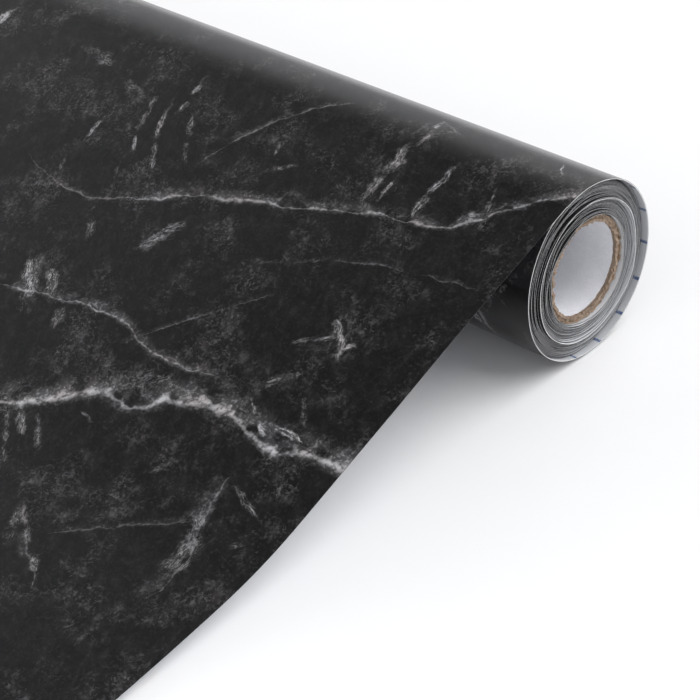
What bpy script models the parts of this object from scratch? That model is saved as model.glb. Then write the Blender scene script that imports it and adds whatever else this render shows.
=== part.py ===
"""A roll of self-adhesive sign vinyl, part-unrolled.

The printed film and its paper liner are wound together on a paper core. The last of the
web leaves the top of the roll, comes down in a long curve and lies on the table, where the
film's free end can be peeled off the liner. Units are metres, +Z is up, the roll's axis
lies along X, and the origin is at the bottom centre of the whole object.
"""

import math

import bmesh
import bpy

# Web: the film on its liner.
WEB_WIDTH = 0.450
FILM_THICKNESS = 0.00010
LINER_THICKNESS = 0.00012
LAYER_GAP = 0.000015
WEB_THICKNESS = LINER_THICKNESS + LAYER_GAP + FILM_THICKNESS
TURN_PITCH = WEB_THICKNESS + LAYER_GAP

# Core: paper plies, from the bore outwards, as (name, thickness, material).
BORE_RADIUS = 0.0127
CORE_PLY_GAP = 0.00003
CORE_PLIES = (
    ("core_inner_ply", 0.00022, "white_paper"),
    ("core_board_ply_1", 0.00060, "kraft_board"),
    ("core_board_ply_2", 0.00060, "kraft_board"),
    ("core_outer_ply", 0.00022, "kraft_paper"),
)
STARTER_TAPE_THICKNESS = 0.00008
STARTER_TAPE_STEPS = 4

# Winding.
TURNS = 38
STEPS_PER_TURN = 18
STEP_ANGLE = math.radians(360 / STEPS_PER_TURN)
DEPARTURE_ANGLE = math.radians(20)
RUNNING_CLEARANCE = 0.0003

# The outermost turn, and the web that leaves it, stand this far out of the roll's near end.
OUTER_TURN_OFFSET = 0.0025
OFFSET_RAMP_TURNS = 0.5

# Free web: straight off the roll, a bend, a slow landing, then flat on the table.
BEND_RADIUS = 0.130
LANDING_RADIUS = 0.470
LANDING_ANGLE = math.radians(9)
BEND_STEPS = 4
LANDING_STEPS = 5
STILL_FLAT_LENGTH = 0.008
PEELING_LENGTH = 0.048
PEEL_HINGE_GAP = 0.0004

COLOURS = {
    "white_paper": ((0.86, 0.86, 0.88, 1.0), 0.75),
    "kraft_board": ((0.47, 0.33, 0.21, 1.0), 0.85),
    "kraft_paper": ((0.55, 0.40, 0.27, 1.0), 0.80),
    "clear_tape": ((0.80, 0.77, 0.62, 1.0), 0.35),
    "black_film": ((0.022, 0.022, 0.024, 1.0), 0.32),
    "liner_paper": ((0.84, 0.85, 0.87, 1.0), 0.55),
}


def core_outer_radius():
    """The radius of the core's outside, over all its plies."""
    radius = BORE_RADIUS
    for _, thickness, _ in CORE_PLIES:
        radius += thickness + CORE_PLY_GAP
    return radius


TAPE_RADIUS = core_outer_radius()
WINDING_RADIUS = TAPE_RADIUS + STARTER_TAPE_THICKNESS + 2 * LAYER_GAP
ROLL_RADIUS = WINDING_RADIUS + TURNS * TURN_PITCH + WEB_THICKNESS
WEB_START_RADIUS = ROLL_RADIUS + RUNNING_CLEARANCE


def straight_length():
    """How far the web runs straight before it bends, so that it lands level with the table."""
    start_height = ROLL_RADIUS + WEB_START_RADIUS * math.cos(DEPARTURE_ANGLE)
    bend_drop = BEND_RADIUS * (math.cos(LANDING_ANGLE) - math.cos(DEPARTURE_ANGLE))
    landing_drop = LANDING_RADIUS * (1 - math.cos(LANDING_ANGLE))
    return (start_height - bend_drop - landing_drop) / math.sin(DEPARTURE_ANGLE)


def landed_reach():
    """The horizontal distance from the roll's axis to where the web first lies flat."""
    start = WEB_START_RADIUS * math.sin(DEPARTURE_ANGLE)
    straight = straight_length() * math.cos(DEPARTURE_ANGLE)
    bend = BEND_RADIUS * (math.sin(DEPARTURE_ANGLE) - math.sin(LANDING_ANGLE))
    landing = LANDING_RADIUS * math.sin(LANDING_ANGLE)
    return start + straight + bend + landing


def back_reach():
    """How far the roll reaches behind its axis: the furthest corner of its outermost turn."""
    reach = 0.0
    for step in range(STEPS_PER_TURN):
        radius = ROLL_RADIUS - TURN_PITCH * step / STEPS_PER_TURN
        angle = DEPARTURE_ANGLE - step * STEP_ANGLE
        reach = max(reach, -radius * math.sin(angle))
    return reach


PEEL_HINGE_REACH = landed_reach() + STILL_FLAT_LENGTH
FREE_END_REACH = PEEL_HINGE_REACH + PEELING_LENGTH
AXIS_Y = (FREE_END_REACH - back_reach()) / 2
AXIS_Z = ROLL_RADIUS
ROLL_NEAR_X = (WEB_WIDTH - OUTER_TURN_OFFSET) / 2
ROLL_FAR_X = ROLL_NEAR_X - WEB_WIDTH


def clear_scene():
    """Empty the scene of everything that Blender starts with."""
    for old in list(bpy.data.objects):
        bpy.data.objects.remove(old, do_unlink=True)


def make_materials():
    """One Principled material for each colour in the table above."""
    materials = {}
    for name, (colour, roughness) in COLOURS.items():
        material = bpy.data.materials.new(name)
        material.use_nodes = True
        shader = material.node_tree.nodes["Principled BSDF"]
        shader.inputs["Base Color"].default_value = colour
        shader.inputs["Roughness"].default_value = roughness
        material.diffuse_color = colour
        materials[name] = material
    return materials


def polar(radius, angle):
    """A point round the roll's axis, the angle counted from the top towards the free end."""
    return AXIS_Y - radius * math.sin(angle), AXIS_Z + radius * math.cos(angle)


def section(far_x, near_x, under, upper):
    """Four corners across the web, from its under and upper (y, z) points."""
    return [
        (far_x, *under),
        (near_x, *under),
        (near_x, *upper),
        (far_x, *upper),
    ]


def sweep(name, sections, closed, material):
    """Join sections of four corners into one solid: a ring if closed, else a strip with two ends."""
    bm = bmesh.new()
    rows = []
    for corners in sections:
        rows.append([bm.verts.new(corner) for corner in corners])
    pairs = list(zip(rows, rows[1:]))
    if closed:
        pairs.append((rows[-1], rows[0]))
    else:
        bm.faces.new(rows[0])
        bm.faces.new(rows[-1][::-1])
    for row, following in pairs:
        for i in range(4):
            j = (i + 1) % 4
            bm.faces.new((row[i], following[i], following[j], row[j]))
    bmesh.ops.recalc_face_normals(bm, faces=bm.faces)
    mesh = bpy.data.meshes.new(name)
    bm.to_mesh(mesh)
    bm.free()
    mesh.shade_smooth()
    mesh.set_sharp_from_angle(angle=math.radians(40))
    mesh.materials.append(material)
    obj = bpy.data.objects.new(name, mesh)
    bpy.context.collection.objects.link(obj)
    return obj


def core_ply(name, inner_radius, thickness, material):
    """One paper tube of the core, as long as the web is wide."""
    sections = []
    for step in range(STEPS_PER_TURN):
        angle = DEPARTURE_ANGLE + step * STEP_ANGLE
        under = polar(inner_radius, angle)
        upper = polar(inner_radius + thickness, angle)
        sections.append(section(ROLL_FAR_X, ROLL_NEAR_X, under, upper))
    return sweep(name, sections, True, material)


def build_core(materials):
    """The spiral-wound paper tube, ply by ply from the bore outwards."""
    radius = BORE_RADIUS
    for name, thickness, material in CORE_PLIES:
        core_ply(name, radius, thickness, materials[material])
        radius += thickness + CORE_PLY_GAP


def build_starter_tape(materials):
    """The strip that holds the start of the web to the core, under the first turn."""
    sections = []
    for step in range(STARTER_TAPE_STEPS + 1):
        angle = DEPARTURE_ANGLE + step * STEP_ANGLE
        under = polar(TAPE_RADIUS, angle)
        upper = polar(TAPE_RADIUS + STARTER_TAPE_THICKNESS, angle)
        sections.append(section(ROLL_FAR_X, ROLL_NEAR_X, under, upper))
    return sweep("starter_tape", sections, False, materials["clear_tape"])


def axial_offset(turns_wound):
    """How far the web has wandered towards the near end: only in the roll's outermost turn."""
    ramp_start = TURNS - 1 - OFFSET_RAMP_TURNS
    progress = (turns_wound - ramp_start) / OFFSET_RAMP_TURNS
    return OUTER_TURN_OFFSET * min(max(progress, 0.0), 1.0)


def wound_layer(name, height, thickness, material):
    """One layer of the wound web: a true spiral, its underside this high over the web's own."""
    sections = []
    for step in range(TURNS * STEPS_PER_TURN + 1):
        turns_wound = step / STEPS_PER_TURN
        angle = DEPARTURE_ANGLE + step * STEP_ANGLE
        radius = WINDING_RADIUS + turns_wound * TURN_PITCH + height
        offset = axial_offset(turns_wound)
        under = polar(radius, angle)
        upper = polar(radius + thickness, angle)
        sections.append(section(ROLL_FAR_X + offset, ROLL_NEAR_X + offset, under, upper))
    return sweep(name, sections, False, material)


def web_path():
    """The free web's underside as (y, z, slope) points, from the roll to where it lies flat."""
    y, z = polar(WEB_START_RADIUS, DEPARTURE_ANGLE)
    slope = DEPARTURE_ANGLE
    path = [(y, z, slope)]
    bend_turn = (DEPARTURE_ANGLE - LANDING_ANGLE) / BEND_STEPS
    landing_turn = LANDING_ANGLE / LANDING_STEPS
    steps = [(straight_length(), 0.0)]
    steps += [(2 * BEND_RADIUS * math.sin(bend_turn / 2), bend_turn)] * BEND_STEPS
    steps += [(2 * LANDING_RADIUS * math.sin(landing_turn / 2), landing_turn)] * LANDING_STEPS
    for length, turn in steps:
        heading = slope - turn / 2
        y -= length * math.cos(heading)
        z -= length * math.sin(heading)
        slope -= turn
        path.append((y, z, slope))
    return path


def lifted(point, height):
    """The (y, z) point this high over a point of the web's underside, square to the web."""
    y, z, slope = point
    return y - height * math.sin(slope), z + height * math.cos(slope)


def free_layer(name, path, height, thickness, material):
    """One layer of the free web, following the path at this height over its underside."""
    far_x = ROLL_FAR_X + OUTER_TURN_OFFSET
    near_x = ROLL_NEAR_X + OUTER_TURN_OFFSET
    sections = []
    for point in path:
        under = lifted(point, height)
        upper = lifted(point, height + thickness)
        sections.append(section(far_x, near_x, under, upper))
    return sweep(name, sections, False, material)


def build_windings(materials):
    """The liner and the film wound together on the core, each as one long spiral."""
    film_height = LINER_THICKNESS + LAYER_GAP
    wound_layer("wound_liner", 0.0, LINER_THICKNESS, materials["liner_paper"])
    wound_layer("wound_film", film_height, FILM_THICKNESS, materials["black_film"])


def build_free_web(materials):
    """The unrolled liner and film, and the film's free end, which peels off the liner."""
    film_height = LINER_THICKNESS + LAYER_GAP
    descent = web_path()
    hinge = (AXIS_Y - PEEL_HINGE_REACH, 0.0, 0.0)
    peel_start = (AXIS_Y - PEEL_HINGE_REACH - PEEL_HINGE_GAP, 0.0, 0.0)
    free_end = (AXIS_Y - FREE_END_REACH, 0.0, 0.0)
    liner = materials["liner_paper"]
    film = materials["black_film"]
    free_layer("web_liner", descent + [free_end], 0.0, LINER_THICKNESS, liner)
    free_layer("web_film", descent + [hinge], film_height, FILM_THICKNESS, film)
    free_layer("film_free_end", [peel_start, free_end], film_height, FILM_THICKNESS, film)


def main():
    """Build the whole roll."""
    clear_scene()
    materials = make_materials()
    build_core(materials)
    build_starter_tape(materials)
    build_windings(materials)
    build_free_web(materials)


main()
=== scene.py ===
"""The look of a part-unrolled roll of black marble film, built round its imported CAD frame.

Everything is in the frame's metres: the roll's axis lies along X, its near end faces +X, and
the sheet leaves the top of the roll towards -Y. Places on the web are (u, v): u metres in
from the near edge, and v metres along the web from where it leaves the roll, counted
positive towards the free end and negative back round the roll. Materials work in the same
(u, v) in centimetres.
"""

import math
from collections import namedtuple

import bpy
import numpy as np
from mathutils import Matrix, Vector, noise


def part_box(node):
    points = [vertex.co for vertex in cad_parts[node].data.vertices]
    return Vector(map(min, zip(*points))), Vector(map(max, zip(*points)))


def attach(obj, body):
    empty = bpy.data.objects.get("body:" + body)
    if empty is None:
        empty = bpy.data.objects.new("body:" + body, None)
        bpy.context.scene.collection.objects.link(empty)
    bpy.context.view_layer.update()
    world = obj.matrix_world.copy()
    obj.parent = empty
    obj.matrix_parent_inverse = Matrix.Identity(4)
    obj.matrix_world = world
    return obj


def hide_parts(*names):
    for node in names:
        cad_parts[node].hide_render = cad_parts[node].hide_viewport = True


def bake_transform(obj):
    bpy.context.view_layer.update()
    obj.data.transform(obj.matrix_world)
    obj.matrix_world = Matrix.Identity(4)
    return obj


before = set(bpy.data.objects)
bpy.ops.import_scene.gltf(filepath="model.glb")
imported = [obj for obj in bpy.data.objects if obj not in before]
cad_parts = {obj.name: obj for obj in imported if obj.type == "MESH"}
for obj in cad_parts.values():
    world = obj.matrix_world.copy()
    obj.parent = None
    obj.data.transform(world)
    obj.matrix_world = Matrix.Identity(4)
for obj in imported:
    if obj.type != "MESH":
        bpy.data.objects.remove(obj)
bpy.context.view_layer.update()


# ---------------------------------------------------------------- driving dimensions


# The roll and the sheet, where the CAD has them.
CORE_LOW, CORE_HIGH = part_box("core_inner_ply")
WEB_LOW, WEB_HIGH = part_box("web_film")
PEEL_LOW, PEEL_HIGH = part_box("film_free_end")
AXIS_Y = (CORE_LOW.y + CORE_HIGH.y) / 2
AXIS_Z = (CORE_LOW.z + CORE_HIGH.z) / 2
CORE_FAR_X = CORE_LOW.x
WEB_NEAR_X = WEB_HIGH.x
WEB_WIDTH = WEB_HIGH.x - WEB_LOW.x
FREE_END_Y = PEEL_LOW.y

# The web: a liner with the film on its outside.
FILM_THICKNESS = 0.00010
LINER_THICKNESS = 0.00012
LAYER_GAP = 0.000015
FILM_HEIGHT = LINER_THICKNESS + LAYER_GAP
WEB_THICKNESS = FILM_HEIGHT + FILM_THICKNESS

# The winding, as the CAD has it.
TURNS = 38
TURN_PITCH = WEB_THICKNESS + LAYER_GAP
WINDING_RADIUS = 0.01457
ROLL_RADIUS = WINDING_RADIUS + TURNS * TURN_PITCH + WEB_THICKNESS

# How the turns really lie: wound tight, with most of the slack in a few loose places, as
# (turn from the core, share of the slack, angle in degrees where it gapes most).
TIGHT_PITCH = 0.000228
EVEN_SHARE = 0.25
LEAST_GAPE = 0.15
OPENING_TURNS = 0.5
LOOSE_PLACES = (
    (0.6, 0.12, 60),
    (2.4, 0.14, 80),
    (4.3, 0.10, 20),
    (17.6, 0.10, 120),
    (26.0, 0.06, 200),
    (36.6, 0.36, -50),
)

# How far each part of the winding stands out of the near end, as (turns, metres).
END_PROFILE = (
    (0.0, -0.0006),
    (3.0, -0.0007),
    (8.0, -0.0016),
    (14.0, -0.0013),
    (17.4, -0.0009),
    (17.8, -0.0001),
    (18.9, -0.0001),
    (19.3, -0.0011),
    (26.0, -0.0013),
    (33.0, -0.0017),
    (36.7, -0.0022),
    (37.2, 0.0),
    (38.0, 0.0),
)

# How single turns wander out of line, as (noise cells a turn, radius of the roll's circle in
# noise cells, metres). The wander dies away over the few turns before the steady one.
END_WANDER = (
    (0.85, 1.1, 0.00045),
    (4.3, 1.3, 0.00065),
)
STEADY_TURN = 36.9
STEADYING_TURNS = 0.4

# The free web's side profile: straight off the roll, a bend, a slow landing, then flat.
DEPARTURE_ANGLE = math.radians(20)
BEND_RADIUS = 0.130
LANDING_RADIUS = 0.470
LANDING_ANGLE = math.radians(9)

# The CAD's web clears the roll by the first of these. The visible one touches it to within
# the second, and comes back to the CAD's height over the settling length.
RUNNING_CLEARANCE = 0.0003
TOUCHING_GAP = 0.00003
SETTLING_LENGTH = 0.045

# The free web's slow ripple, between the roll and its end.
RIPPLE_END_V = 0.19
RIPPLE_FADE = 0.06
RIPPLE_CELLS_U = 9.0
RIPPLE_CELLS_V = 14.0
RIPPLE_SEED = 3.7
RIPPLE_HEIGHT = 0.0009
RIPPLE_LIFT = 0.0002

# How far inside the film's edges the free liner's lie, and the length it takes to draw in.
LINER_INSET = 0.0004
LINER_INSET_LENGTH = 0.025

# The core's near face, and how its rim is rolled inwards: how much at the bore, how deep
# into the core, and how far out into its wall.
CORE_RECESS = 0.0012
CORE_FACE_X = WEB_NEAR_X - CORE_RECESS
BORE_RADIUS = 0.0127
RIM_BURR = 0.0006
RIM_BURR_DEPTH = 0.0012
RIM_BURR_REACH = 0.0016

# The core's layers, from the bore outwards:
# (piece, CAD node, slot, inner radius, outer radius, how far it stands in, raggedness).
CORE_LAYERS = (
    ("core_lining", "core_inner_ply", "white_paper", BORE_RADIUS, 0.01292, 0.0015, 0.0002),
    ("core_board_a", "core_board_ply_1", "kraft_board", 0.01295, 0.01355, 0.0003, 0.0007),
    ("core_board_b", "core_board_ply_2", "kraft_board", 0.01358, 0.01418, 0.0005, 0.0006),
    ("core_wrap", "core_outer_ply", "kraft_paper", 0.01421, 0.01443, 0.0003, 0.0005),
)

# The core's cut ends: how deep the raggedness goes, the circle's radius in noise cells, the
# noise as (scale, weight), and how far apart the noises of two layers lie.
RAG_DEPTH = 0.003
RAG_CELLS = 9
RAG_NOISE = ((1.0, 1.0), (3.1, 0.7))
FRAY_SHARE = 0.35
FRAY_NOISE = ((1.7, 1.0), (4.3, 1.0))
SEED_STEP = 3.7

# How finely the pieces are divided, and the angle from which an edge is sharp.
STATIONS_PER_TURN = 120
WINDING_EDGE_STRIP = 0.004
SHEET_COLUMNS = 46
STRAIGHT_STEPS = 60
BEND_STEPS = 24
FLAT_STEPS = 28
CORE_STATIONS = 300
CORE_CUTS = (0.0, 0.0004, 0.0012, 0.003, 0.2, 0.447, 0.4495, 0.45)
SHARP_ANGLE = math.radians(50)


# ---------------------------------------------------------------- meshes


# The material slots of every shell.
UPPER_FACE, LOWER_FACE, CUT_EDGE = range(3)


def shell_faces(rows, columns):
    """The faces of a closed shell over a grid, and which material slot each one takes."""
    half = rows * columns
    index = np.arange(half).reshape(rows, columns)
    here = index[:-1, :-1].ravel()
    beside = index[:-1, 1:].ravel()
    opposite = index[1:, 1:].ravel()
    ahead = index[1:, :-1].ravel()
    upper = np.stack([here, beside, opposite, ahead], 1) + half
    lower = np.stack([here, ahead, opposite, beside], 1)
    faces = [upper, lower]
    slots = [np.full(len(upper), UPPER_FACE), np.full(len(lower), LOWER_FACE)]
    for border in (index[:, 0], index[-1, :], index[::-1, -1], index[0, ::-1]):
        start, stop = border[:-1], border[1:]
        faces.append(np.stack([stop, stop + half, start + half, start], 1))
        slots.append(np.full(len(start), CUT_EDGE))
    return np.concatenate(faces), np.concatenate(slots)


def shell_mesh(name, lower, upper, us, vs, materials):
    """A thin closed shell between two grids of points, rows along the web and columns across.

    The materials are those of the upper face, the lower face and the cut edges. UVs are
    (u, v) in metres on every face.
    """
    points = np.concatenate([lower.reshape(-1, 3), upper.reshape(-1, 3)])
    faces, slots = shell_faces(*lower.shape[:2])
    mesh = bpy.data.meshes.new(name)
    mesh.vertices.add(len(points))
    mesh.vertices.foreach_set("co", points.astype(np.float32).ravel())
    mesh.loops.add(faces.size)
    mesh.loops.foreach_set("vertex_index", faces.astype(np.int32).ravel())
    mesh.polygons.add(len(faces))
    starts = np.arange(0, faces.size, 4, dtype=np.int32)
    mesh.polygons.foreach_set("loop_start", starts)
    mesh.polygons.foreach_set("material_index", slots.astype(np.int32))

    grid = np.stack(np.broadcast_arrays(us[None, :], vs[:, None]), -1).reshape(-1, 2)
    corners = np.concatenate([grid, grid])[faces.ravel()]
    layer = mesh.uv_layers.new(name="web")
    layer.data.foreach_set("uv", corners.astype(np.float32).ravel())

    for material in materials:
        mesh.materials.append(material)
    mesh.update(calc_edges=True)
    mesh.validate()
    mesh.shade_smooth()
    mesh.set_sharp_from_angle(angle=SHARP_ANGLE)
    shell = bpy.data.objects.new(name, mesh)
    bpy.context.scene.collection.objects.link(shell)
    return shell


def polar(radius, angle):
    """(y, z) at this angle round the roll, counted from the top towards the free end."""
    return AXIS_Y - radius * np.sin(angle), AXIS_Z + radius * np.cos(angle)


def smooth(x):
    """A soft step from 0 to 1."""
    x = np.clip(x, 0, 1)
    return x * x * (3 - 2 * x)


def layered_noise(spot, layers):
    """Noise at this spot, added up over layers of (scale, weight)."""
    return sum(weight * noise.noise(spot * scale) for scale, weight in layers)


# ---------------------------------------------------------------- the winding


def winding_radius(turns, angles):
    """The radius of the web's underside after this many turns, at this angle."""
    opened = np.zeros_like(turns)
    whole = np.zeros_like(turns)
    for turn, weight, degrees in LOOSE_PLACES:
        lobe = (0.5 + 0.5 * np.cos(angles - math.radians(degrees))) ** 2
        gape = weight * (LEAST_GAPE + (1 - LEAST_GAPE) * lobe)
        opened += gape * np.clip((turns - turn) / OPENING_TURNS + 0.5, 0, 1)
        whole += gape
    slack = TURNS * (TURN_PITCH - TIGHT_PITCH)
    taken = EVEN_SHARE * (turns / TURNS) + (1 - EVEN_SHARE) * opened / whole
    return WINDING_RADIUS + turns * TIGHT_PITCH + slack * taken


def end_wander(turn, angle):
    """How far the web's near edge has slipped out of line here, metres."""
    slip = 0.0
    for pace, circle, distance in END_WANDER:
        spot = Vector((turn * pace, circle * math.cos(angle), circle * math.sin(angle)))
        slip += distance * noise.noise(spot)
    return slip


def end_offset(turns, angles):
    """How far the web's near edge stands out of the roll's near end, metres."""
    steps, distances = zip(*END_PROFILE)
    offset = np.interp(turns, steps, distances)
    wander = np.array([end_wander(turn, angle) for turn, angle in zip(turns, angles)])
    return offset + wander * np.clip((STEADY_TURN - turns) / STEADYING_TURNS, 0, 1)


def build_winding(name, height, thickness, materials):
    """One layer of the wound web, this high over the web's underside."""
    count = TURNS * STATIONS_PER_TURN + 1
    turns = np.linspace(0, TURNS, count)
    angles = DEPARTURE_ANGLE + turns * 2 * math.pi
    radii = winding_radius(turns, angles) + height
    lengths = np.concatenate([[0], np.cumsum((radii[1:] + radii[:-1]) / 2 * np.diff(angles))])
    us = np.array([0.0, WINDING_EDGE_STRIP, WEB_WIDTH - WINDING_EDGE_STRIP, WEB_WIDTH])
    vs = lengths - lengths[-1]
    shift = end_offset(turns, angles)
    lower = np.empty((count, len(us), 3))
    upper = np.empty((count, len(us), 3))
    for grid, radius in ((lower, radii), (upper, radii + thickness)):
        y, z = polar(radius, angles)
        grid[..., 0] = WEB_NEAR_X + shift[:, None] - us[None, :]
        grid[..., 1] = y[:, None]
        grid[..., 2] = z[:, None]
    return shell_mesh(name, lower, upper, us, vs, materials)


# ---------------------------------------------------------------- the free sheet


def sheet_path():
    """The underside of the free web as rows of (y, z, slope, v), from the roll to the free end."""
    y, z = polar(ROLL_RADIUS + RUNNING_CLEARANCE, DEPARTURE_ANGLE)
    bend_drop = BEND_RADIUS * (math.cos(LANDING_ANGLE) - math.cos(DEPARTURE_ANGLE))
    landing_drop = LANDING_RADIUS * (1 - math.cos(LANDING_ANGLE))
    straight = (z - bend_drop - landing_drop) / math.sin(DEPARTURE_ANGLE)
    bend_turn = (DEPARTURE_ANGLE - LANDING_ANGLE) / BEND_STEPS
    landing_turn = LANDING_ANGLE / BEND_STEPS
    steps = [(straight / STRAIGHT_STEPS, 0.0)] * STRAIGHT_STEPS
    steps += [(2 * BEND_RADIUS * math.sin(bend_turn / 2), bend_turn)] * BEND_STEPS
    steps += [(2 * LANDING_RADIUS * math.sin(landing_turn / 2), landing_turn)] * BEND_STEPS
    slope, v = DEPARTURE_ANGLE, 0.0
    path = [(y, z, slope, v)]
    for length, turn in steps:
        heading = slope - turn / 2
        y -= length * math.cos(heading)
        z -= length * math.sin(heading)
        slope -= turn
        v += length
        path.append((y, z, slope, v))
    flat = y - FREE_END_Y
    for _ in range(FLAT_STEPS):
        y -= flat / FLAT_STEPS
        v += flat / FLAT_STEPS
        path.append((y, z, slope, v))
    return np.array(path)


def sheet_ripple(u, v):
    """How far the free web lifts off its plain curve: a slow wave, none at the roll or the end."""
    fade_in = smooth(np.array(v / RIPPLE_FADE))
    fade_out = smooth(np.array((RIPPLE_END_V - v) / RIPPLE_FADE))
    away = float(fade_in * fade_out)
    wave = noise.noise(Vector((u * RIPPLE_CELLS_U, v * RIPPLE_CELLS_V, RIPPLE_SEED)))
    return RIPPLE_HEIGHT * away * wave + RIPPLE_LIFT * away


def build_sheet(name, height, thickness, edge_inset, materials):
    """One layer of the free web, this high over the web's underside."""
    y, z, slope, vs = sheet_path().T
    us = WEB_WIDTH * np.linspace(0, 1, SHEET_COLUMNS)
    settle = (TOUCHING_GAP - RUNNING_CLEARANCE) * (1 - smooth(vs / SETTLING_LENGTH))
    ripple = np.array([[sheet_ripple(u, v) for u in us] for v in vs])
    inset = edge_inset * smooth(vs / LINER_INSET_LENGTH)
    across = (WEB_WIDTH - 2 * inset)[:, None] * us[None, :] / WEB_WIDTH + inset[:, None]
    lower = np.empty((len(vs), SHEET_COLUMNS, 3))
    upper = np.empty((len(vs), SHEET_COLUMNS, 3))
    for grid, lift in ((lower, height), (upper, height + thickness)):
        rise = (settle + lift)[:, None] + ripple
        grid[..., 0] = WEB_NEAR_X - across
        grid[..., 1] = y[:, None] - rise * np.sin(slope)[:, None]
        grid[..., 2] = z[:, None] + rise * np.cos(slope)[:, None]
    return shell_mesh(name, lower, upper, us, vs, materials)


# ---------------------------------------------------------------- the core


def rim_burr(radius, depth):
    """How far the rim is rolled inwards at this radius and this far in from the near face."""
    by_depth = max(0.0, 1 - depth / RIM_BURR_DEPTH)
    by_radius = max(0.0, 1 - (radius - BORE_RADIUS) / RIM_BURR_REACH)
    return RIM_BURR * (by_depth * by_radius)


def build_tube(name, inner, outer, near_x, far_x, roughness, material, seed):
    """One layer of the paper core, with a near end that is cut a little rough."""
    angles = np.linspace(0, 2 * math.pi, CORE_STATIONS + 1)
    shares = np.array(CORE_CUTS) / CORE_CUTS[-1]
    span = near_x - far_x
    lower = np.empty((len(angles), len(shares), 3))
    upper = np.empty((len(angles), len(shares), 3))
    for row, angle in enumerate(angles):
        spot = Vector((math.cos(angle) * RAG_CELLS, math.sin(angle) * RAG_CELLS, seed))
        rag = roughness * layered_noise(spot, RAG_NOISE)
        fray = FRAY_SHARE * roughness * layered_noise(spot, FRAY_NOISE)
        for grid, radius in ((lower, inner), (upper, outer)):
            for column, share in enumerate(shares):
                at_end = max(0.0, 1 - share * span / RAG_DEPTH)
                depth = CORE_FACE_X - near_x + share * span
                reach = radius - rim_burr(radius, depth)
                reach += fray * at_end if radius == inner else 0.0
                y, z = polar(reach, angle)
                grid[row, column] = (near_x - share * span + rag * at_end, y, z)
    return shell_mesh(name, lower, upper, shares * span, angles * outer, (material,) * 3)


# ---------------------------------------------------------------- making materials


CM_PER_METRE = 100.0


class Graph:
    """Short ways to make and join the nodes of a material or of the world."""

    def __init__(self, owner):
        owner.use_nodes = True
        self.owner = owner
        self.tree = owner.node_tree
        self.tree.nodes.clear()

    def node(self, kind, inputs=None, **settings):
        made = self.tree.nodes.new(kind)
        for key, value in settings.items():
            setattr(made, key, value)
        for key, value in (inputs or {}).items():
            self.feed(made.inputs[key], value)
        return made

    def feed(self, socket, value):
        if isinstance(value, bpy.types.NodeSocket):
            self.tree.links.new(value, socket)
        else:
            socket.default_value = value

    def math(self, operation, a, b=0.0, c=0.0, clamp=False):
        made = self.node("ShaderNodeMath", operation=operation, use_clamp=clamp)
        for socket, value in zip(made.inputs, (a, b, c)):
            self.feed(socket, value)
        return made.outputs[0]

    def vector(self, operation, a, b):
        made = self.node("ShaderNodeVectorMath", operation=operation)
        self.feed(made.inputs[0], a)
        self.feed(made.inputs["Scale" if operation == "SCALE" else 1], b)
        return made.outputs["Vector"]

    def noise_node(self, place, scale, detail, roughness, warp=0.0):
        inputs = {
            "Vector": place,
            "Scale": scale,
            "Detail": detail,
            "Roughness": roughness,
            "Distortion": warp,
        }
        return self.node("ShaderNodeTexNoise", inputs)

    def noise(self, place, scale, detail=4.0, roughness=0.55, warp=0.0):
        return self.noise_node(place, scale, detail, roughness, warp).outputs["Fac"]

    def step(self, value, low, high, to_low=0.0, to_high=1.0):
        """value from low to high, mapped softly on to to_low and to_high."""
        inputs = {0: value, 1: low, 2: high, 3: to_low, 4: to_high}
        made = self.node("ShaderNodeMapRange", inputs, interpolation_type="SMOOTHSTEP")
        return made.outputs[0]

    def placed(self, place, location, degrees=0.0, scale=(1, 1, 1)):
        """place seen from a local frame at this location, turned and scaled."""
        inputs = {
            "Vector": place,
            "Location": (*location, 0),
            "Rotation": (0, 0, math.radians(degrees)),
            "Scale": scale,
        }
        return self.node("ShaderNodeMapping", inputs, vector_type="TEXTURE").outputs[0]

    def blob(self, place, location, degrees, size, brightness):
        """A soft-edged oval patch, this bright over its inner third."""
        made = self.node(
            "ShaderNodeTexGradient", {"Vector": place}, gradient_type="QUADRATIC_SPHERE"
        )
        oval = made.texture_mapping
        oval.vector_type = "TEXTURE"
        oval.translation = (*location, 0)
        oval.rotation = (0, 0, math.radians(degrees))
        oval.scale = (*size, 1)
        lifted = self.math("MULTIPLY", made.outputs["Fac"], 2.0 * brightness)
        return self.math("MINIMUM", lifted, brightness)

    def split(self, vector):
        return self.node("ShaderNodeSeparateXYZ", {0: vector}).outputs

    def mix(self, share, a, b):
        made = self.node("ShaderNodeMix", {0: share, 6: a, 7: b}, data_type="RGBA")
        return made.outputs[2]

    def bump(self, height, strength, distance):
        inputs = {"Height": height, "Strength": strength, "Distance": distance}
        return self.node("ShaderNodeBump", inputs).outputs[0]

    def finish(self, colour, roughness, normal=None, **constants):
        """Join these to one shader, and give back the finished material."""
        inputs = {"Base Color": colour, "Roughness": roughness, **constants}
        if normal is not None:
            inputs["Normal"] = normal
        shader = self.node("ShaderNodeBsdfPrincipled", inputs)
        self.node("ShaderNodeOutputMaterial", {0: shader.outputs[0]})
        return self.owner


def web_graph(name):
    """A new material's graph, and the place on the web in centimetres, as a vector."""
    graph = Graph(bpy.data.materials.new(name))
    uv = graph.node("ShaderNodeUVMap", uv_map="web").outputs[0]
    return graph, graph.vector("SCALE", uv, CM_PER_METRE)


def object_graph(name):
    """A new material's graph, and the place on the object in metres, as a vector."""
    graph = Graph(bpy.data.materials.new(name))
    return graph, graph.node("ShaderNodeTexCoord").outputs["Object"]


# ---------------------------------------------------------------- the film's print


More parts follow.
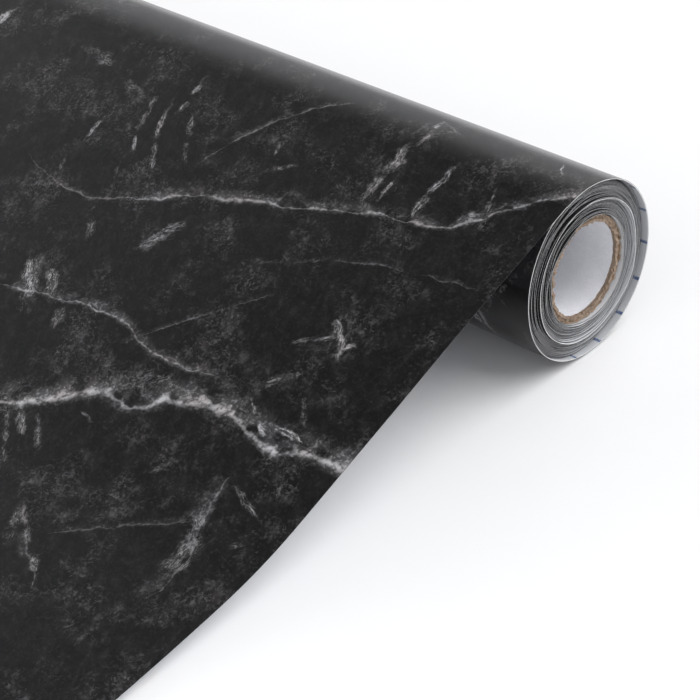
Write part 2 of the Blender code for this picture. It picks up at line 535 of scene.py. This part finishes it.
# The print's veins, in centimetres on the film: (points, width, glow, brightness, ragged).
VEINS = (
    (((-2.2, 8.2), (0.0, 8.6), (1.3, 8.8), (1.9, 9.0), (2.6, 8.9), (3.8, 8.8), (4.6, 8.9),
      (5.4, 9.2), (6.1, 9.8), (7.0, 9.8), (8.2, 10.5), (9.6, 11.4),
      (11.6, 12.3)), 0.165, 0.95, 0.95, 0.14),
    (((-1.6, -1.7), (0.0, -0.5), (1.1, 0.5), (1.8, 1.2), (2.5, 1.8), (4.3, 2.2), (6.8, 3.0),
      (8.1, 3.4), (9.4, 3.8), (11.6, 4.9), (12.8, 5.4)), 0.065, 0.45, 0.66, 0.10),
    (((4.4, 8.1), (6.6, 8.3), (7.6, 8.2), (8.2, 8.0), (9.4, 8.0), (11.0, 8.3),
      (13.9, 8.8)), 0.042, 0.40, 0.58, 0.10),
    (((7.6, -0.7), (9.1, 0.6), (9.7, 1.5), (10.4, 3.0)), 0.035, 0.30, 0.36, 0.06),
    (((5.0, 5.4), (6.1, 6.5), (7.9, 8.6)), 0.024, 0.20, 0.24, 0.06),
    (((11.9, 5.1), (13.5, 5.2), (15.6, 4.8)), 0.040, 0.22, 0.30, 0.08),
    (((2.0, 11.3), (3.4, 12.3), (5.2, 13.7)), 0.030, 0.26, 0.18, 0.08),
    (((2.5, 9.9), (2.3, 10.8), (2.1, 11.6), (1.7, 12.3), (1.6, 13.8)), 0.060, 0.60, 0.42, 0.14),
    (((6.5, 13.2), (5.6, 13.9), (4.0, 15.0)), 0.050, 0.34, 0.36, 0.12),
    (((16.4, 7.6), (18.3, 8.5), (20.4, 8.2), (22.4, 9.0)), 0.045, 0.36, 0.50, 0.10),
    (((13.6, 12.9), (16.4, 12.0), (18.0, 12.6), (21.8, 11.7)), 0.060, 0.50, 0.70, 0.11),
    (((2.8, 16.9), (6.6, 18.3), (11.0, 17.5), (15.6, 18.6)), 0.060, 0.50, 0.60, 0.11),
    (((17.8, 14.6), (19.2, 16.4), (19.6, 18.8)), 0.040, 0.36, 0.40, 0.10),
    (((0.2, 3.0), (1.7, 3.3), (2.9, 3.5), (4.6, 4.0)), 0.020, 0.16, 0.20, 0.05),
)

# Bundles of fine streaks, by the direction their strands lie in (degrees on the film), as
# (u, v, half-length, half-width, direction of the bundle, brightness), in centimetres.
STREAKS = {
    92: (
        (14.3, 3.2, 0.65, 0.09, 97, 0.50), (16.8, 4.1, 0.90, 0.30, 86, 0.20),
        (1.8, 0.9, 0.75, 0.09, 109, 0.40), (3.5, 0.6, 0.80, 0.12, 88, 0.70),
        (5.1, 0.5, 0.60, 0.26, 95, 0.62), (5.1, 1.3, 0.90, 0.20, 92, 0.45),
        (3.5, 1.5, 0.60, 0.15, 92, 0.65), (4.7, 1.5, 0.60, 0.07, 92, 0.60),
        (5.0, -0.7, 0.70, 0.10, 100, 0.50), (20.8, 1.0, 0.45, 0.16, 90, 0.80),
        (12.3, 1.5, 0.40, 0.12, 90, 0.45), (12.4, 0.7, 0.45, 0.14, 105, 0.55),
        (1.8, 12.4, 1.30, 0.34, 100, 0.40), (5.0, 12.6, 0.80, 0.12, 93, 0.20),
        (18.9, 5.6, 1.10, 0.40, 88, 0.30), (17.6, 10.3, 0.90, 0.35, 95, 0.35),
    ),
    122: (
        (13.2, 2.1, 0.75, 0.13, 113, 0.50), (12.7, 3.1, 0.50, 0.10, 121, 0.45),
        (12.5, 2.2, 0.75, 0.12, 112, 0.55), (11.8, 3.3, 0.75, 0.11, 128, 0.60),
        (11.6, 1.9, 0.65, 0.09, 126, 0.42), (11.0, 2.7, 0.55, 0.10, 130, 0.40),
        (12.4, 4.1, 0.60, 0.10, 122, 0.34), (14.2, 4.6, 0.40, 0.08, 108, 0.30),
        (11.7, 5.9, 0.75, 0.18, 133, 0.38), (8.5, 1.6, 0.30, 0.06, 122, 0.45),
        (12.0, 8.0, 0.85, 0.34, 132, 0.75), (11.3, 7.8, 0.75, 0.26, 133, 0.60),
        (10.2, 8.6, 0.50, 0.20, 128, 0.50), (8.7, 12.0, 1.00, 0.12, 138, 0.38),
        (8.6, 11.5, 0.60, 0.16, 140, 0.55), (7.9, 11.6, 0.75, 0.14, 132, 0.40),
        (5.7, 13.8, 0.75, 0.16, 147, 0.40), (4.7, 14.5, 0.50, 0.16, 140, 0.55),
        (6.1, 13.9, 0.65, 0.20, 121, 0.36), (2.2, 11.4, 0.90, 0.24, 116, 0.42),
        (3.2, 8.4, 0.40, 0.06, 137, 0.55), (2.0, 7.8, 0.70, 0.10, 128, 0.34),
        (2.6, 5.8, 0.75, 0.12, 134, 0.90), (2.9, 5.6, 0.45, 0.09, 110, 0.60),
        (1.1, -1.2, 0.40, 0.05, 119, 0.60), (1.1, 9.8, 0.45, 0.10, 127, 0.34),
    ),
    50: (
        (9.5, 5.5, 0.95, 0.28, 71, 0.48), (1.9, 1.1, 1.00, 0.08, 43, 0.50),
        (4.3, 10.9, 1.40, 0.14, 53, 0.22), (3.1, 7.3, 0.80, 0.16, 50, 0.36),
        (0.8, 11.3, 0.85, 0.12, 49, 0.24), (8.0, 2.1, 0.70, 0.10, 34, 0.36),
        (3.2, 6.1, 0.95, 0.10, 33, 0.42), (5.4, 4.4, 1.60, 0.10, 25, 0.20),
        (6.3, 9.0, 0.90, 0.30, 30, 0.34), (2.3, 6.0, 0.35, 0.10, 60, 0.60),
        (15.0, 14.6, 1.10, 0.30, 40, 0.40),
    ),
    165: (
        (11.1, 2.0, 0.35, 0.06, 166, 0.30), (7.0, 10.6, 0.55, 0.07, 168, 0.34),
        (1.6, 10.4, 0.55, 0.10, 172, 0.34), (16.3, 1.0, 1.10, 0.30, 171, 0.30),
        (14.3, 1.6, 1.10, 0.26, 150, 0.30), (10.7, 4.9, 0.70, 0.12, 155, 0.20),
        (1.9, 8.5, 0.60, 0.09, 0, 1.00), (2.6, 8.7, 0.30, 0.09, 145, 0.90),
        (4.7, -1.2, 0.60, 0.06, 160, 0.45), (1.5, 10.5, 0.80, 0.10, 165, 0.40),
    ),
}

# Where the print repeats, in centimetres: the size of its tile, where the tile starts, and
# how far the next one across is dropped.
TILE_U, TILE_START_U = 25.0, -2.4
TILE_V, TILE_START_V = 24.0, -4.0
TILE_DROP = 9.0

# How far the whole print is pushed about, in centimetres, how much the edges of its marks
# are, and how many times a bundle's size it takes to fade out.
PRINT_WOBBLE = 0.42
RAGGED_PUSH = 2.2
STREAK_SPREAD = 1.6

# Black where the film is plain and where it is clouded, and the two greys of the veins.
PLAIN_BLACK = (0.0024, 0.0024, 0.0027, 1)
CLOUDED_BLACK = (0.0240, 0.0205, 0.0210, 1)
COOL_GREY = (0.50, 0.50, 0.515, 1)
WARM_GREY = (0.47, 0.44, 0.44, 1)

# The noises that all marks of the print share: ragged pushes their edges about, slow and
# fine thin them out, and grain and fibres fill them.
PrintNoise = namedtuple("PrintNoise", "ragged slow fine grain fibres")


def print_noise(graph, place):
    """The shared noises. The fibres are thin threads and a coarse grain together."""
    ragged = graph.math("SUBTRACT", graph.noise(place, 2.2, 4.0, 0.6), 0.5)
    slow = graph.noise(place, 1.1, 3.0, 0.6)
    fine = graph.noise(place, 5.5, 5.0, 0.68, 0.2)
    wave = graph.noise(place, 2.2, 6.0, 0.62, 0.6)
    ridge = graph.math("ABSOLUTE", graph.math("SUBTRACT", wave, 0.5))
    lines = graph.step(ridge, 0.050, 0.0)
    threads = graph.math("MULTIPLY", lines, graph.step(fine, 0.42, 0.66))
    grain = graph.step(graph.noise(place, 11.0, 6.0, 0.80), 0.51, 0.72)
    fibres = graph.math("MAXIMUM", graph.math("MULTIPLY", threads, 0.60), grain)
    return PrintNoise(ragged, slow, fine, grain, fibres)


def wobbled(graph, place):
    """The same place, pushed about so that nothing in the print runs quite straight."""
    colour = graph.noise_node(place, 1.3, 3.5, 0.58).outputs["Color"]
    push = graph.vector("SUBTRACT", colour, (0.5, 0.5, 0.5))
    return graph.vector("ADD", place, graph.vector("SCALE", push, PRINT_WOBBLE))


def tiled(graph, place):
    """The same place within one tile of the print."""
    u, v, _ = graph.split(place)
    shifted = graph.math("SUBTRACT", u, TILE_START_U)
    tile = graph.math("FLOOR", graph.math("DIVIDE", shifted, TILE_U))
    tile_u = graph.math("MULTIPLY_ADD", tile, -TILE_U, u)
    dropped = graph.math("MULTIPLY_ADD", tile, TILE_DROP, v)
    tile_v = graph.math("WRAP", dropped, TILE_START_V + TILE_V, TILE_START_V)
    return graph.node("ShaderNodeCombineXYZ", {0: tile_u, 1: tile_v}).outputs[0]


def bent_line(graph, place, points):
    """How far along this line the place is, 0 to 1, and how many centimetres to its left."""
    start, end = Vector(points[0]), Vector(points[-1])
    chord = end - start
    unit = chord.normalized()
    normal = Vector((-unit.y, unit.x))
    degrees = math.degrees(math.atan2(chord.y, chord.x))
    along, across, _ = graph.split(graph.placed(place, start, degrees, (chord.length, 1, 1)))

    # The curve node spans a little more than the line's furthest rise from its chord.
    rises = [(Vector(point) - start).dot(normal) for point in points]
    reach = max(abs(rise) for rise in rises) * 1.2 + 0.01
    marks = [
        ((Vector(point) - start).dot(unit) / chord.length, 0.5 + rise / (2 * reach))
        for point, rise in zip(points, rises)
    ]
    bend = graph.node("ShaderNodeFloatCurve", {1: along})
    curve = bend.mapping.curves[0]
    curve.points[0].location = marks[0]
    curve.points[-1].location = marks[-1]
    for share, height in marks[1:-1]:
        curve.points.new(share, height)
    bend.mapping.update()
    offset = graph.math("MULTIPLY_ADD", bend.outputs[0], 2 * reach, -reach)
    return along, graph.math("SUBTRACT", across, offset)


def vein(graph, place, shape, noises):
    """One vein: a thin broken line along its points, with fibrous haze mostly on its right."""
    points, width, glow, brightness, ragged = shape
    along, left = bent_line(graph, place, points)
    left = graph.math("MULTIPLY_ADD", noises.ragged, RAGGED_PUSH * ragged, left)
    away = graph.math("ABSOLUTE", left)
    thick = graph.math("MULTIPLY_ADD", noises.slow, 4.0 * width, -1.0 * width)
    core = graph.step(graph.math("DIVIDE", away, thick), 1.0, 0.0)
    core = graph.math("MULTIPLY", core, graph.step(noises.fine, 0.36, 0.58, 0.22, 1.0))
    core = graph.math("MULTIPLY", core, graph.step(noises.slow, 0.40, 0.54, 0.45, 1.0))
    squeeze = graph.math("MULTIPLY_ADD", graph.math("GREATER_THAN", left, 0.0), 1.6, 1.0)
    soft = graph.step(graph.math("MULTIPLY", away, squeeze), glow, 0.0)
    soft = graph.math("POWER", soft, 1.6)
    soft = graph.math("MULTIPLY", soft, graph.step(noises.slow, 0.36, 0.60))
    haze = graph.math("MULTIPLY", soft, graph.math("MULTIPLY_ADD", noises.fibres, 1.10, 0.17))
    both = graph.math("MAXIMUM", core, haze)
    ends = graph.math("MULTIPLY", graph.step(along, 0.0, 0.10), graph.step(along, 1.0, 0.90))
    return graph.math("MULTIPLY", graph.math("MULTIPLY", both, ends), brightness)


def strands(graph, place, degrees):
    """Fine broken strands lying in one direction."""
    turned = graph.placed(place, (0, 0), degrees)
    stretched = graph.vector("MULTIPLY", turned, (1.3, 7.5, 1.0))
    wave = graph.noise(stretched, 1.8, 6.0, 0.66, 0.35)
    ridge = graph.math("ABSOLUTE", graph.math("SUBTRACT", wave, 0.5))
    lines = graph.step(ridge, 0.060, 0.0)
    broken = graph.step(graph.noise(turned, 3.6, 5.0, 0.7), 0.38, 0.60)
    return graph.math("MULTIPLY", lines, broken)


def streaks(graph, place, degrees, bundles, noises):
    """All the bundles of streaks whose strands lie in this direction."""
    masks = None
    for u, v, length, width, turn, brightness in bundles:
        size = (length * STREAK_SPREAD, width * STREAK_SPREAD)
        mask = graph.blob(place, (u, v), turn, size, brightness)
        masks = mask if masks is None else graph.math("MAXIMUM", masks, mask)
    pushed = graph.math("MULTIPLY_ADD", noises.ragged, RAGGED_PUSH, masks)
    torn = graph.step(pushed, 0.02, 0.62)
    chalk = graph.math("MULTIPLY_ADD", noises.grain, 1.30, 0.08)
    lit = graph.math("MULTIPLY_ADD", strands(graph, place, degrees), 1.45, chalk)
    return graph.math("MULTIPLY", graph.math("MULTIPLY", masks, torn), lit)


def printed_marks(graph, place, noises):
    """How white the veins and the streaks make the film here."""
    white = None
    for shape in VEINS:
        made = vein(graph, place, shape, noises)
        white = made if white is None else graph.math("MAXIMUM", white, made)
    for degrees, bundles in STREAKS.items():
        made = streaks(graph, place, degrees, bundles, noises)
        white = graph.math("MAXIMUM", white, made)
    return white


def marble_film():
    """Satin black film printed with white veins, as fine as the real print."""
    graph, place = web_graph("marble_film")
    bent = tiled(graph, wobbled(graph, place))
    noises = print_noise(graph, place)
    white = printed_marks(graph, bent, noises)

    # Faint fibres and clouds over the whole film, thicker in some places than in others.
    patches = graph.step(graph.noise(place, 0.60, 4.0, 0.62), 0.46, 0.70)
    lying = graph.placed(place, (0, 0), 122, (1.8, 1.0, 1.0))
    mottle = graph.step(graph.noise(lying, 3.2, 7.0, 0.74), 0.47, 0.76)
    haze = graph.math("MULTIPLY", mottle, graph.math("MULTIPLY_ADD", patches, 0.14, 0.022))
    white = graph.math("ADD", white, haze)
    thinly = graph.math("MULTIPLY_ADD", patches, 0.26, 0.035)
    faint = graph.math("MULTIPLY", noises.fibres, thinly)
    white = graph.math("ADD", white, faint, clamp=True)

    cloud = graph.step(graph.noise(place, 1.7, 5.0, 0.65), 0.40, 0.72)
    cloud = graph.math("MULTIPLY", cloud, graph.math("MULTIPLY_ADD", patches, 0.75, 0.25))
    black = graph.mix(cloud, PLAIN_BLACK, CLOUDED_BLACK)
    tint = graph.mix(graph.step(graph.noise(place, 0.7, 2.0), 0.4, 0.65), COOL_GREY, WARM_GREY)
    colour = graph.mix(white, black, tint)
    roughness = graph.step(graph.noise(place, 14.0, 3.0), 0.3, 0.7, 0.20, 0.26)
    emboss = graph.bump(graph.noise(place, 30.0, 2.0), 0.06, 0.0001)
    return graph.finish(colour, roughness, emboss, IOR=1.46)


# ---------------------------------------------------------------- the other materials


# The liner's printed grid, in centimetres: how far its ink reaches from the middle of a
# line, and where along the web it starts, so that only the outermost turn and the free
# liner have it.
GRID_INK_REACH = 0.058
GRID_STARTS = (-16.2, -15.8)
GRID_BLUE = (0.015, 0.06, 0.20, 1)

# Where along the web, in centimetres, the liner's long cut edges stand clear and catch the light,
# and get a painted highlight in white there; and how near the web's sides that is, from not at all
# to fully.
EDGE_HIGHLIGHT_SPANS = ((-15.6, 3.0), (-271.0, -260.0))
EDGE_HIGHLIGHT_WHITE = (0.86, 0.86, 0.86, 1)
SIDE_MARGIN = (0.2, 0.1)

# The helical seam of the core's lining, in centimetres: its pitch and the bore's girth.
SEAM_PITCH = 4.2
SEAM_GIRTH = 8.3


def film_back():
    """The film's adhesive side: clear tacky coat over grey vinyl."""
    graph, place = web_graph("film_adhesive_side")
    blotch = graph.noise(place, 1.5, 5.0)
    colour = graph.mix(blotch, (0.30, 0.30, 0.31, 1), (0.42, 0.42, 0.43, 1))
    roughness = graph.step(graph.noise(place, 5.0, 4.0), 0.3, 0.7, 0.22, 0.42)
    tack = graph.bump(graph.noise(place, 12.0, 4.0), 0.25, 0.0002)
    return graph.finish(colour, roughness, tack)


def film_edge():
    """The film's cut edge: grey vinyl with a black skin."""
    graph, place = web_graph("film_cut_edge")
    nick = graph.noise(place, 5.0, 5.0, 0.7)
    shade = graph.step(nick, 0.35, 0.7)
    colour = graph.mix(shade, (0.006, 0.006, 0.007, 1), (0.03, 0.03, 0.032, 1))
    return graph.finish(colour, 0.5, graph.bump(nick, 0.3, 0.0002))


def liner_edge():
    """The liner's cut edge: fibrous grey paper, with a painted highlight where it stands clear of
    its neighbours.
    """
    graph, place = web_graph("liner_cut_edge")
    u, v, _ = graph.split(place)
    half_width = WEB_WIDTH / 2 * CM_PER_METRE
    from_middle = graph.math("ABSOLUTE", graph.math("SUBTRACT", u, half_width))
    begins, full = SIDE_MARGIN
    at_side = graph.step(from_middle, half_width - begins, half_width - full)
    fibres = graph.noise(place, 22.0, 6.0, 0.75)
    shade = graph.step(fibres, 0.38, 0.64)
    colour = graph.mix(shade, (0.06, 0.06, 0.065, 1), (0.52, 0.52, 0.53, 1))
    # Painted highlight: along these spans, at the web's sides, the edge's colour is mixed towards
    # white where it would catch the light.
    for low, high in EDGE_HIGHLIGHT_SPANS:
        started = graph.step(v, low - 1, low)
        in_range = graph.math("MULTIPLY", started, graph.step(v, high + 1, high))
        clear = graph.math("MULTIPLY", in_range, at_side)
        colour = graph.mix(clear, colour, EDGE_HIGHLIGHT_WHITE)
    return graph.finish(colour, 0.75, graph.bump(fibres, 0.12, 0.0001))


def grid_ink(graph, place):
    """How much blue ink there is here: a centimetre grid, worn thin in places."""
    u, v, _ = graph.split(place)
    lines = []
    for coordinate, start in ((u, 0.0), (v, 0.5)):
        phase = graph.math("PINGPONG", graph.math("ADD", coordinate, start), 0.5)
        from_line = graph.math("SUBTRACT", 0.5, phase)
        lines.append(graph.step(from_line, GRID_INK_REACH, GRID_INK_REACH * 0.5))
    in_view = graph.step(v, *GRID_STARTS)
    ink = graph.math("MULTIPLY", graph.math("MAXIMUM", *lines), in_view)
    worn = graph.step(graph.noise(place, 11.0, 4.0, 0.7), 0.30, 0.55, 0.35, 0.9)
    return graph.math("MULTIPLY", ink, worn)


def liner_paper(name, light, dark, roughness, has_grid):
    """Smooth liner paper with fine fibres, and the printed grid if this side has it."""
    graph, place = web_graph(name)
    fibres = graph.noise(graph.vector("MULTIPLY", place, (1.0, 2.2, 1.0)), 16.0, 6.0, 0.7)
    colour = graph.mix(graph.step(fibres, 0.3, 0.7), dark, light)
    if has_grid:
        colour = graph.mix(grid_ink(graph, place), colour, GRID_BLUE)
    rough = graph.step(fibres, 0.3, 0.7, roughness + 0.06, roughness - 0.06)
    return graph.finish(colour, rough, graph.bump(fibres, 0.12, 0.0001))


def liner_release_side():
    """The liner's silicone side, which the film peels off: white and a little glossy."""
    light = (0.84, 0.84, 0.83, 1)
    dark = (0.78, 0.78, 0.77, 1)
    return liner_paper("liner_release_side", light, dark, roughness=0.30, has_grid=False)


def liner_grid_side():
    """The liner's back: greyer and duller, with the grid."""
    light = (0.62, 0.63, 0.65, 1)
    dark = (0.50, 0.51, 0.54, 1)
    return liner_paper("liner_grid_side", light, dark, roughness=0.60, has_grid=True)


def core_paper(name, light, dark, roughness, strength, has_seam=False):
    """The core's paper and board: fibrous and blotched, with a helical seam if it shows one."""
    graph, place = web_graph(name)
    fibres = graph.noise(graph.vector("MULTIPLY", place, (3.0, 1.0, 1.0)), 14.0, 8.0, 0.75)
    blotch = graph.noise(place, 1.6, 5.0, 0.6)
    shade = graph.math("MULTIPLY_ADD", fibres, 0.65, graph.math("MULTIPLY", blotch, 0.35))
    colour = graph.mix(graph.step(shade, 0.35, 0.65), dark, light)
    height = fibres
    if has_seam:
        u, v, _ = graph.split(place)
        length = graph.math("MULTIPLY", u, 1 / SEAM_PITCH)
        helix = graph.math("ADD", length, graph.math("DIVIDE", v, SEAM_GIRTH))
        gap = graph.math("ABSOLUTE", graph.math("SUBTRACT", graph.math("FRACT", helix), 0.5))
        line = graph.step(gap, 0.012, 0.003)
        colour = graph.mix(graph.math("MULTIPLY", line, 0.35), colour, dark)
        height = graph.math("SUBTRACT", fibres, line)
    return graph.finish(colour, roughness, graph.bump(height, strength, 0.0003))


def core_board():
    """The brown board of the core's wall."""
    light = (0.38, 0.285, 0.21, 1)
    dark = (0.17, 0.12, 0.085, 1)
    return core_paper("core_board", light, dark, roughness=0.9, strength=0.8)


def core_kraft():
    """The brown wrapping paper round the core."""
    light = (0.40, 0.30, 0.22, 1)
    dark = (0.20, 0.14, 0.095, 1)
    return core_paper("core_kraft", light, dark, roughness=0.85, strength=0.5)


def core_white():
    """The white paper that lines the bore."""
    light = (0.80, 0.80, 0.83, 1)
    dark = (0.66, 0.66, 0.70, 1)
    return core_paper("core_white", light, dark, roughness=0.75, strength=0.25, has_seam=True)


def tape_material():
    """Clear double-sided tape, slightly yellow."""
    graph, place = object_graph("starter_tape_clear")
    haze = graph.noise(place, 400.0, 3.0)
    colour = graph.mix(haze, (0.72, 0.69, 0.52, 1), (0.80, 0.78, 0.64, 1))
    return graph.finish(colour, graph.step(haze, 0.3, 0.7, 0.25, 0.4))


def floor_material():
    """Plain pale paper sweep."""
    graph, place = object_graph("pale_floor")
    grain = graph.noise(place, 60.0, 4.0)
    colour = graph.mix(grain, (0.86, 0.86, 0.87, 1), (0.88, 0.88, 0.88, 1))
    return graph.finish(colour, 0.85)


# ---------------------------------------------------------------- building the pieces


def build_film(face, back, edge):
    """The film: wound on the roll, and free along the table."""
    wound = build_winding("film_on_roll", FILM_HEIGHT, FILM_THICKNESS, (face, back, edge))
    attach(wound, "roll")
    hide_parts("wound_film")
    free = build_sheet("film_sheet", FILM_HEIGHT, FILM_THICKNESS, 0.0, (face, back, edge))
    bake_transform(free)
    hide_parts("web_film", "film_free_end")
    return free


def build_liner(release, back, edge):
    """The liner: wound under the film, and free on the table."""
    paints = (release, back, edge)
    wound = build_winding("liner_on_roll", 0.0, LINER_THICKNESS, paints)
    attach(wound, "roll")
    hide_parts("wound_liner")
    free = build_sheet("liner_sheet", 0.0, LINER_THICKNESS, LINER_INSET, paints)
    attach(free, "free_web")
    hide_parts("web_liner")
    return free


def build_core(materials):
    """The paper core, ply by ply."""
    for number, (name, node, slot, inner, outer, inset, rag) in enumerate(CORE_LAYERS):
        near = CORE_FACE_X - inset
        far = CORE_FAR_X + inset
        seed = number * SEED_STEP
        tube = build_tube(name, inner, outer, near, far, rag, materials[slot], seed)
        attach(tube, "roll")
        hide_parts(node)


# ---------------------------------------------------------------- the stage and the camera


FLOOR_REACH = 4.0
FLOOR_DROP = 0.0002

# Wide soft lights: (direction they come from, strength, angle they fill in degrees).
LIGHTS = (
    ((0.50, 0.42, 0.80), 2.1, 60),
    ((0.10, 0.85, 0.60), 0.8, 70),
    ((0.30, -0.80, 0.60), 0.4, 70),
)

# The camera: its place from the roll's near end on the axis, and where it looks, in degrees.
CAMERA_OFFSET = Vector((0.2619, -0.3278, 0.2770))
CAMERA_AZIMUTH = 47.06
CAMERA_ELEVATION = 35.25
CAMERA_ROLL = -5.93
CAMERA_LENS = 102.86
CAMERA_SENSOR = 36
CAMERA_NEAREST = 0.01


def build_floor():
    """A wide flat sweep just under the object."""
    mesh = bpy.data.meshes.new("floor")
    corners = ((-1, -1), (1, -1), (1, 1), (-1, 1))
    points = [(x * FLOOR_REACH, y * FLOOR_REACH, -FLOOR_DROP) for x, y in corners]
    mesh.from_pydata(points, [], [(0, 1, 2, 3)])
    mesh.materials.append(floor_material())
    floor = bpy.data.objects.new("floor", mesh)
    bpy.context.scene.collection.objects.link(floor)


def soft_light(name, towards, strength, angle):
    """A wide light far away in this direction."""
    data = bpy.data.lights.new(name, "SUN")
    data.energy = strength
    data.angle = angle
    light = bpy.data.objects.new(name, data)
    light.rotation_euler = towards.to_track_quat("Z", "Y").to_euler()
    bpy.context.scene.collection.objects.link(light)


def studio_world():
    """A white sweep that brightens as it rises, and a dimmer roof over it."""
    world = bpy.data.worlds.new("studio")
    graph = Graph(world)
    direction = graph.node("ShaderNodeTexCoord").outputs["Generated"]
    _, _, z = graph.split(direction)
    sweep = graph.step(z, 0.0, 0.50, 0.66, 0.96)
    roof = graph.step(z, 0.57, 0.61, 1.0, 0.48)
    zenith = graph.step(z, 0.62, 0.86, 1.0, 0.34)
    light = graph.math("MULTIPLY", sweep, graph.math("MULTIPLY", roof, zenith))
    background = graph.node("ShaderNodeBackground", {0: (0.96, 0.97, 1.0, 1), 1: light})
    graph.node("ShaderNodeOutputWorld", {0: background.outputs[0]})
    bpy.context.scene.world = world


def build_stage():
    """The floor and the lights."""
    build_floor()
    studio_world()
    for number, (towards, strength, degrees) in enumerate(LIGHTS):
        soft_light(f"light_{number}", Vector(towards), strength, math.radians(degrees))


def build_camera():
    """A long lens, looking down on the roll's near end."""
    data = bpy.data.cameras.new("camera")
    data.lens = CAMERA_LENS
    data.sensor_width = CAMERA_SENSOR
    data.clip_start = CAMERA_NEAREST
    camera = bpy.data.objects.new("camera", data)
    turn = (
        Matrix.Rotation(math.radians(CAMERA_AZIMUTH), 4, "Z")
        @ Matrix.Rotation(math.radians(90 - CAMERA_ELEVATION), 4, "X")
        @ Matrix.Rotation(math.radians(CAMERA_ROLL), 4, "Z")
    )
    place = Vector((WEB_NEAR_X, AXIS_Y, AXIS_Z)) + CAMERA_OFFSET
    camera.matrix_world = Matrix.Translation(place) @ turn
    bpy.context.scene.collection.objects.link(camera)
    bpy.context.scene.camera = camera


def main():
    bpy.context.scene.view_settings.view_transform = "Standard"
    build_camera()
    build_stage()
    film = build_film(marble_film(), film_back(), film_edge())
    liner = build_liner(liner_release_side(), liner_grid_side(), liner_edge())
    length = float(sheet_path()[-1, 3])
    papers = {
        "white_paper": core_white(),
        "kraft_board": core_board(),
        "kraft_paper": core_kraft(),
    }
    build_core(papers)
    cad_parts["starter_tape"].data.materials[0] = tape_material()


main()
